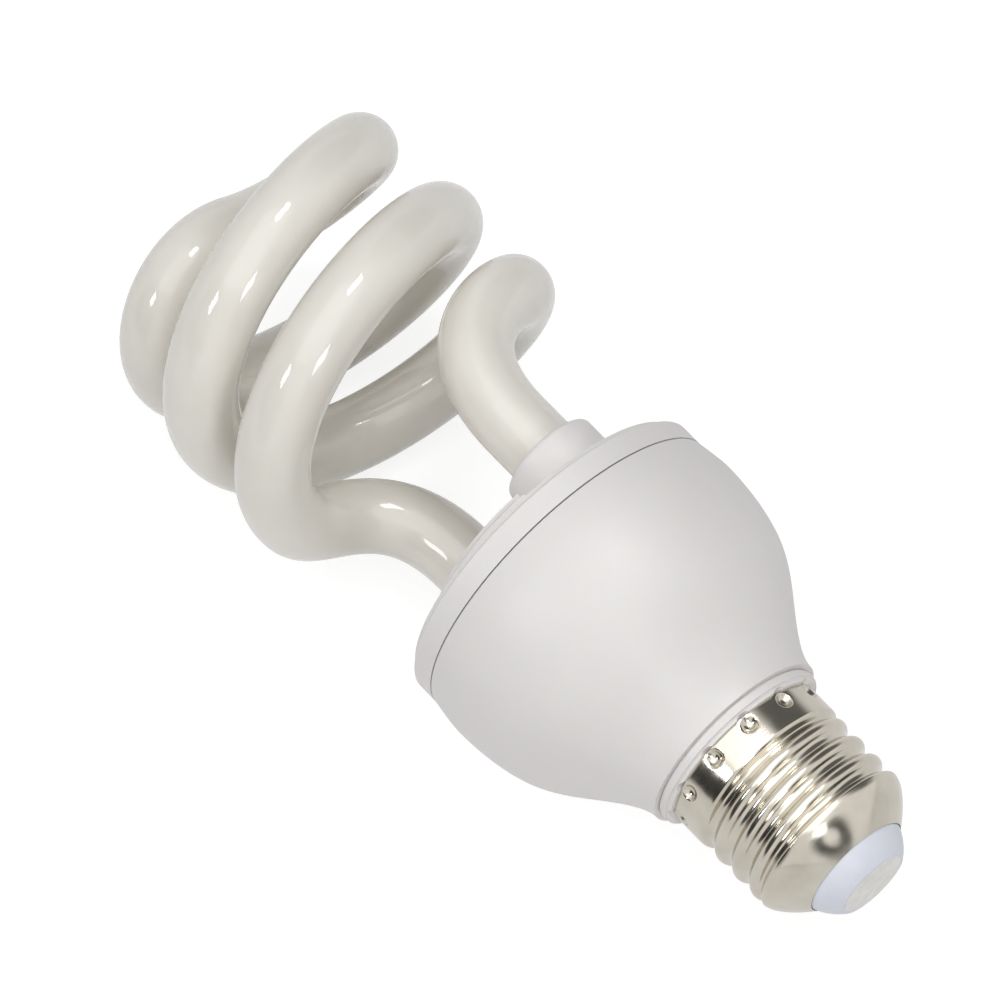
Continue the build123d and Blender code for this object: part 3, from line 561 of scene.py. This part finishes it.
# %% Sizes of the cap
CREST_RADIUS = 13.1
THREAD_PITCH = 3.629
THREAD_ARC = 1.025
THREAD_BOTTOM = 9.2
THREAD_TOP = 22.6
THREAD_START_ANGLE = 48.0
THREAD_FADE = 1.3
SKIRT_RADIUS = 13.16
MOUTH_RADIUS = 8.5
MOUTH_HEIGHT = 4.0
CAP_HEIGHT = 27.4
CAP_WALL = 0.35
CAP_EDGE = 0.9
CONE_BULGE = 0.5
DENTS = 12
DENT_START_ANGLE = -3.0
DENT_BALL = 1.35
DENT_DEPTH = 0.75
DENT_HEIGHT = CAP_HEIGHT - 1.4
DENT_SOFTNESS = 0.5
MOUTH_LIP = 0.5
CAP_COLUMNS = 400
OUTSIDE_ROWS = 176
ALL_ROWS = 216
CAP_JOIN = 0.005


# %% Tree for the cap
def cap_tree():
    """Grid whose points are set by the radius rule of a rolled screw cap."""
    tree = bpy.data.node_groups.new("rolled_cap", "GeometryNodeTree")
    inside, outside = add_sockets(
        tree,
        [("Geometry", "NodeSocketGeometry", None), ("Crest radius", "NodeSocketFloat", CREST_RADIUS),
         ("Pitch", "NodeSocketFloat", THREAD_PITCH), ("Dents", "NodeSocketInt", DENTS),
         ("Wall", "NodeSocketFloat", CAP_WALL), ("Material", "NodeSocketMaterial", None)],
        [("Geometry", "NodeSocketGeometry")],
    )
    grid = add_node(tree, "GeometryNodeMeshGrid", {
        "Size X": 1.0, "Size Y": 1.0, "Vertices X": CAP_COLUMNS + 1, "Vertices Y": ALL_ROWS})
    position = add_node(tree, "GeometryNodeInputPosition").outputs[0]
    place = add_node(tree, "ShaderNodeSeparateXYZ", {0: position})

    # one turn round the axis across the grid
    turns = formula(tree, "ADD", place.outputs["X"], 0.5)

    # rows up the outside, down the inside, and the last one back on the first
    row = formula(tree, "MULTIPLY", formula(tree, "ADD", place.outputs["Y"], 0.5), ALL_ROWS - 1)
    going_up = formula(tree, "DIVIDE", row, OUTSIDE_ROWS - 1)
    rows_left = formula(tree, "SUBTRACT", ALL_ROWS - 2, row)
    going_down = formula(tree, "DIVIDE", rows_left, ALL_ROWS - 2 - OUTSIDE_ROWS)
    climb = formula(tree, "MAXIMUM", formula(tree, "MINIMUM", going_up, going_down), 0.0)
    inner = formula(tree, "MULTIPLY", formula(tree, "GREATER_THAN", row, OUTSIDE_ROWS - 0.5),
                    formula(tree, "GREATER_THAN", rows_left, -0.5))
    lowest = formula(tree, "MULTIPLY_ADD", inner, MOUTH_LIP, MOUTH_HEIGHT)
    height = formula(tree, "MULTIPLY_ADD", climb, formula(tree, "SUBTRACT", CAP_HEIGHT, lowest), lowest)
    pitch = inside.outputs["Pitch"]
    crest = inside.outputs["Crest radius"]

    # distance along the axis from the nearest crest, from 0 to half a pitch
    climbed = formula(tree, "DIVIDE", formula(tree, "SUBTRACT", height, THREAD_BOTTOM), pitch)
    phase = formula(tree, "SUBTRACT", climbed, formula(tree, "SUBTRACT", turns, THREAD_START_ANGLE / 360))
    away = formula(tree, "MULTIPLY", formula(tree, "PINGPONG", phase, 0.5), pitch)
    crest_centre = formula(tree, "SUBTRACT", crest, THREAD_ARC)
    drop = math.sqrt((2 * THREAD_ARC) ** 2 - (THREAD_PITCH / 2) ** 2)
    root_centre = formula(tree, "ADD", crest_centre, drop)
    arc_square = THREAD_ARC**2

    def arc_height(distance):
        """Height of the crest's or the root's arc at a distance from its middle."""
        under = formula(tree, "SUBTRACT", arc_square, formula(tree, "POWER", distance, 2.0))
        return formula(tree, "SQRT", formula(tree, "MAXIMUM", under, 0.0))

    on_crest = formula(tree, "ADD", crest_centre, arc_height(away))
    from_root = formula(tree, "SUBTRACT", formula(tree, "MULTIPLY", pitch, 0.5), away)
    on_root = formula(tree, "SUBTRACT", root_centre, arc_height(from_root))
    past = formula(tree, "GREATER_THAN", away, THREAD_PITCH / 4)
    thread = add_node(tree, "ShaderNodeMix", {"Factor": past, "A": on_crest, "B": on_root}).outputs["Result"]

    def fade(low, high):
        """Soft step from 0 to 1 between two heights."""
        return add_node(tree, "ShaderNodeMapRange", {
            "Value": height, "From Min": low, "From Max": high}, interpolation_type="SMOOTHSTEP").outputs[0]

    # plain wall where the thread fades out at both ends
    above = fade(THREAD_TOP - THREAD_FADE, THREAD_TOP)
    skirt = add_node(tree, "ShaderNodeMix", {
        "Factor": above, "A": crest, "B": SKIRT_RADIUS}).outputs["Result"]
    depth = formula(tree, "MULTIPLY", fade(THREAD_BOTTOM, THREAD_BOTTOM + THREAD_FADE),
                    formula(tree, "SUBTRACT", 1.0, above))
    wall = add_node(tree, "ShaderNodeMix", {"Factor": depth, "A": skirt, "B": thread}).outputs["Result"]

    # cone from the mouth up, with an arch that is a quarter at its highest
    slope = (CREST_RADIUS - MOUTH_RADIUS) / (THREAD_BOTTOM - MOUTH_HEIGHT)
    above_mouth = formula(tree, "SUBTRACT", height, MOUTH_HEIGHT)
    cone = formula(tree, "MULTIPLY_ADD", above_mouth, slope, MOUTH_RADIUS)
    share = formula(tree, "DIVIDE", above_mouth, THREAD_BOTTOM - MOUTH_HEIGHT)
    arch = formula(tree, "MULTIPLY", share, formula(tree, "SUBTRACT", 1.0, share))
    cone = formula(tree, "MULTIPLY_ADD", formula(tree, "MAXIMUM", arch, 0.0), 4 * CONE_BULGE, cone)
    wall = formula(tree, "SMOOTH_MIN", wall, cone, CAP_EDGE)

    # dents: a ball pressed in at even steps round the skirt
    step = formula(tree, "DIVIDE", 1.0, inside.outputs["Dents"])
    shifted = formula(tree, "SUBTRACT", turns, DENT_START_ANGLE / 360)
    nearest = formula(tree, "PINGPONG", shifted, formula(tree, "MULTIPLY", step, 0.5))
    sideways = formula(tree, "MULTIPLY", nearest, 2 * math.pi * SKIRT_RADIUS)
    upwards = formula(tree, "SUBTRACT", height, DENT_HEIGHT)
    square = formula(tree, "ADD", formula(tree, "POWER", sideways, 2.0), formula(tree, "POWER", upwards, 2.0))
    under_ball = formula(tree, "SUBTRACT", DENT_BALL**2, square)
    reach = formula(tree, "SQRT", formula(tree, "MAXIMUM", under_ball, 0.0))
    pressed = formula(tree, "SUBTRACT", CREST_RADIUS + DENT_BALL - DENT_DEPTH, reach)
    radius = formula(tree, "SMOOTH_MIN", wall, pressed, DENT_SOFTNESS)
    radius = formula(tree, "SUBTRACT", radius, formula(tree, "MULTIPLY", inner, inside.outputs["Wall"]))

    angle = formula(tree, "MULTIPLY", turns, 2 * math.pi)
    point = add_node(tree, "ShaderNodeCombineXYZ", {
        "X": formula(tree, "MULTIPLY", radius, formula(tree, "COSINE", angle)),
        "Y": formula(tree, "MULTIPLY", radius, formula(tree, "SINE", angle)), "Z": height})
    moved = add_node(tree, "GeometryNodeSetPosition", {
        "Geometry": grid.outputs[0], "Position": point.outputs[0]})
    closed = add_node(tree, "GeometryNodeMergeByDistance", {
        "Geometry": moved.outputs[0], "Distance": CAP_JOIN})
    done = add_node(tree, "GeometryNodeSetMaterial", {
        "Geometry": add_node(tree, "GeometryNodeRealizeInstances", {0: closed.outputs[0]}).outputs[0],
        "Material": inside.outputs["Material"]})
    tree.links.new(done.outputs[0], outside.inputs[0])
    return tree


screw_cap = mesh_from_tree("screw_cap", cap_tree(), {"Material": materials["cap_metal"]})
dress(screw_cap, "cap_shell", corner_degrees=50)

# %% [markdown]
# ## The mouldings, the insulator and the contact
# These four are turned shapes whose solids are already right. A solid comes in as loose triangles,
# which would shade as flat facets, so each gets a copy whose points are merged. The triangles on a
# turned face are long and thin, and plain smooth shading shows them as faint teeth. So the shading
# there comes from the rule of the lathe: a normal lies in the plane through the axis, and its slope
# is that of the outline. The collars follow the same rule about the axis of their own leg.

# %% What counts as turned
COLLAR_REACH = 7.7
COLLAR_FOOT = 68.0
MOST_SIDEWAYS = 0.12
LEAST_OUTWARDS = 0.02
SAME_SLOPE = 0.94
SHORTEST_SPOKE = 0.01
SHORTEST_SUM = 1e-4
NORMAL_DIGITS = 3
POINT_JOIN = 0.0005
CORNER_DEGREES = 30
LAMP_AXIS = Vector((0, 0))
LEG_AXES = [Vector((-leg_foot.y, leg_foot.x)), Vector((leg_foot.y, -leg_foot.x))]


# %% Smooth copies of solids
def outline_normal(corners, face_normal, axis):
    """Normal of a turned face as (along, outwards), or None where the face isn't turned about the axis."""
    spokes = [Vector((point.y, point.z)) / MM - axis for point in corners]
    stations = [(point.x / MM, spoke.length) for point, spoke in zip(corners, spokes)]
    spoke = sum(spokes, Vector((0, 0)))
    if spoke.length < SHORTEST_SUM:
        return None
    spoke.normalize()
    outwards = face_normal.y * spoke.x + face_normal.z * spoke.y
    sideways = face_normal.z * spoke.x - face_normal.y * spoke.y
    if abs(sideways) > MOST_SIDEWAYS:
        return None
    if abs(outwards) < LEAST_OUTWARDS:
        return Vector((math.copysign(1.0, face_normal.x), 0.0))
    start, end = max(((a, b) for a in stations for b in stations), key=lambda pair: math.dist(*pair))
    slope = Vector((start[1] - end[1], end[0] - start[0])).normalized()
    measured = Vector((face_normal.x, outwards)).normalized()
    if slope.dot(measured) < 0:
        slope.negate()
    return slope if slope.dot(measured) > SAME_SLOPE else None


def turned_shading(mesh):
    """Custom normals from the rule of the lathe, with a corner kept wherever the outline turns sharply."""
    points = [vertex.co.copy() for vertex in mesh.vertices]
    turned = []
    for face in mesh.polygons:
        corners = [points[index] for index in face.vertices]
        axis = LAMP_AXIS
        for leg in LEG_AXES:
            reach = max((Vector((point.y, point.z)) / MM - leg).length for point in corners)
            if reach < COLLAR_REACH and corners[0].x / MM > COLLAR_FOOT:
                axis = leg
        outline = outline_normal(corners, face.normal, axis)
        turned.append((axis, outline) if outline is not None else None)
    around_point = [[] for _ in points]
    for face, rule in zip(mesh.polygons, turned):
        if rule:
            for index in face.vertices:
                around_point[index].append(rule)
    limit = math.cos(math.radians(CORNER_DEGREES))
    normals = [corner.vector.copy() for corner in mesh.corner_normals]
    for face, rule in zip(mesh.polygons, turned):
        if not rule:
            continue
        axis, outline = rule
        for loop, index in zip(face.loop_indices, face.vertices):
            near = {tuple(round(v, NORMAL_DIGITS) for v in other) for centre, other in around_point[index]
                    if centre == axis and other.dot(outline) > limit}
            slope = sum((Vector(other) for other in near), Vector((0, 0))).normalized()
            spoke = Vector((points[index].y, points[index].z)) / MM - axis
            if spoke.length > SHORTEST_SPOKE:
                spoke.normalize()
                normals[loop] = Vector((slope.x, slope.y * spoke.x, slope.y * spoke.y)).normalized()
    mesh.normals_split_custom_set(normals)
    return sum(rule is not None for rule in turned)


def smooth_copy(node, name):
    """Copy of a node's mesh with its points merged, which then stands for the node."""
    piece = bpy.data.objects.new(name, frame["nodes"][node].data.copy())
    scene.collection.objects.link(piece)
    dress(piece, node, CORNER_DEGREES, merge_mm=POINT_JOIN)
    print(name, "has", turned_shading(piece.data), "turned faces")


smooth_copy("lower_housing", "bell_housing")
smooth_copy("tube_holder", "tube_cover")
smooth_copy("cap_insulator", "insulator_nose")
smooth_copy("centre_contact", "contact_disc")

# %% [markdown]
# ## Floor and light
# The lamp lies on a white sweep. To the camera and in reflections most of the floor's white is its own
# and the rest is lit, so that a faint shadow stays under the lamp. One broad sheet overhead gives the
# even light, and three small panels make the short highlights on the glass and the cap. Metal in an
# all white room looks like paint, so reflections also show dark flags: one at each side of the lamp and
# a small one with a lit hole in front of the cap.

# %% Floor
FLOOR_GAP = 0.1 * MM
FLOOR_REACH = 3.0
GLOW_IN_REFLECTIONS = 0.55
GLOW_TO_CAMERA = 0.80
SEEN_PAPER = 0.35
PLAIN_PAPER = 0.85


def sight_rays(tree):
    """Light path outputs, and 1 for a ray of the camera, of a reflection or through clear glass."""
    rays = add_node(tree, "ShaderNodeLightPath").outputs
    seen = formula(tree, "MAXIMUM", rays["Is Camera Ray"], rays["Is Glossy Ray"])
    return rays, formula(tree, "MAXIMUM", seen, rays["Is Transmission Ray"])


def white_floor():
    """Large floor just under the lamp."""
    mesh = bpy.data.meshes.new("floor")
    height = cad_low.z - FLOOR_GAP
    corners = [(x * FLOOR_REACH, y * FLOOR_REACH, height) for x, y in ((-1, -1), (1, -1), (1, 1), (-1, 1))]
    mesh.from_pydata(corners, [], [(0, 1, 2, 3)])
    floor = bpy.data.objects.new("floor", mesh)
    scene.collection.objects.link(floor)
    material = bpy.data.materials.new("white_sweep")
    material.use_nodes = True
    tree = material.node_tree
    tree.nodes.clear()
    rays, seen = sight_rays(tree)
    glow_strength = formula(tree, "MULTIPLY_ADD", rays["Is Camera Ray"],
                            GLOW_TO_CAMERA - GLOW_IN_REFLECTIONS, GLOW_IN_REFLECTIONS)
    glow = add_node(tree, "ShaderNodeEmission", {"Color": (1, 1, 1, 1), "Strength": glow_strength})
    paper = add_node(tree, "ShaderNodeBsdfDiffuse", {"Color": (*[SEEN_PAPER] * 3, 1)})
    lit = add_node(tree, "ShaderNodeAddShader", {0: glow.outputs[0], 1: paper.outputs[0]})
    plain = add_node(tree, "ShaderNodeBsdfDiffuse", {"Color": (*[PLAIN_PAPER] * 3, 1)})
    mix = add_node(tree, "ShaderNodeMixShader", {0: seen, 1: plain.outputs[0], 2: lit.outputs[0]})
    out = add_node(tree, "ShaderNodeOutputMaterial")
    tree.links.new(mix.outputs[0], out.inputs[0])
    mesh.materials.append(material)


white_floor()

# %% Light
PANEL_DISTANCE = 0.9
RAMP_START, RAMP_END = -0.1, 0.9
ROOM_FLOOR, ROOM_TOP = 0.22, 0.34
PANELS = {
    # name: (direction from the lamp, width and height, power in watts)
    "front_sheet": ((-0.06, 0.16, 0.98), (1.10, 0.90), 3.15),
    "top_panel": ((0.03, -0.24, 0.97), (0.20, 0.20), 1.3),
    "cap_panel": ((-0.80, 0.20, 0.60), (0.20, 0.20), 1.1),
    "side_panel": ((0.20, 0.76, 0.60), (0.18, 0.18), 1.0),
}
FLAGS = (
    # direction from the lamp, cosines where it starts and where it is full, and how much it darkens
    ((0.25, 0.93, 0.25), 0.78, 0.92, 0.95),
    ((0.20, -0.84, 0.50), 0.80, 0.93, 0.85),
    ((-0.93, 0.06, 0.37), 0.91, 0.965, 0.92),
    # a lit hole in the flag before it
    ((-0.93, 0.06, 0.37), 0.982, 0.996, -14.0),
)


def add_panel(name, direction, size, power):
    """Soft panel that looks at the middle of the lamp from a direction."""
    light = bpy.data.lights.new(name, "AREA")
    light.shape, light.size, light.size_y, light.energy = "RECTANGLE", *size, power
    panel = bpy.data.objects.new(name, light)
    scene.collection.objects.link(panel)
    back = Vector(direction).normalized()
    place = (cad_low + cad_high) / 2 + back * PANEL_DISTANCE
    panel.matrix_world = Matrix.Translation(place) @ back.to_track_quat("Z", "Y").to_matrix().to_4x4()


for name, (direction, size, power) in PANELS.items():
    add_panel(name, direction, size, power)


def soft_room():
    """World that is white where it is seen, dark at its flags in reflections, and a soft grey light."""
    world = bpy.data.worlds.new("soft_room")
    scene.world = world
    world.use_nodes = True
    tree = world.node_tree
    tree.nodes.clear()
    rays, seen = sight_rays(tree)
    place = add_node(tree, "ShaderNodeTexCoord").outputs["Generated"]
    way = add_node(tree, "ShaderNodeSeparateXYZ", {0: place})
    ramp = add_node(tree, "ShaderNodeMapRange", {
        "Value": way.outputs["Z"], "From Min": RAMP_START, "From Max": RAMP_END,
        "To Min": ROOM_FLOOR, "To Max": ROOM_TOP})
    room = add_node(tree, "ShaderNodeBackground", {"Color": (1, 1, 1, 1), "Strength": ramp.outputs[0]})

    # the flags darken what reflections show, and nothing else
    backdrop = 1.0
    for direction, start, full, darkness in FLAGS:
        toward = add_node(tree, "ShaderNodeVectorMath", {0: place, 1: Vector(direction).normalized()},
                          operation="DOT_PRODUCT")
        flag = add_node(tree, "ShaderNodeMapRange", {
            "Value": toward.outputs["Value"], "From Min": start, "From Max": full},
            interpolation_type="SMOOTHSTEP")
        flag = formula(tree, "MULTIPLY", flag.outputs[0], rays["Is Glossy Ray"])
        backdrop = formula(tree, "MULTIPLY", backdrop, formula(tree, "MULTIPLY_ADD", flag, -darkness, 1.0))
    white = add_node(tree, "ShaderNodeBackground", {"Color": (1, 1, 1, 1), "Strength": backdrop})
    mix = add_node(tree, "ShaderNodeMixShader", {0: seen, 1: room.outputs[0], 2: white.outputs[0]})
    out = add_node(tree, "ShaderNodeOutputWorld")
    tree.links.new(mix.outputs[0], out.inputs[0])


soft_room()
scene.view_settings.view_transform = "Standard"
print("lights:", sorted(PANELS))
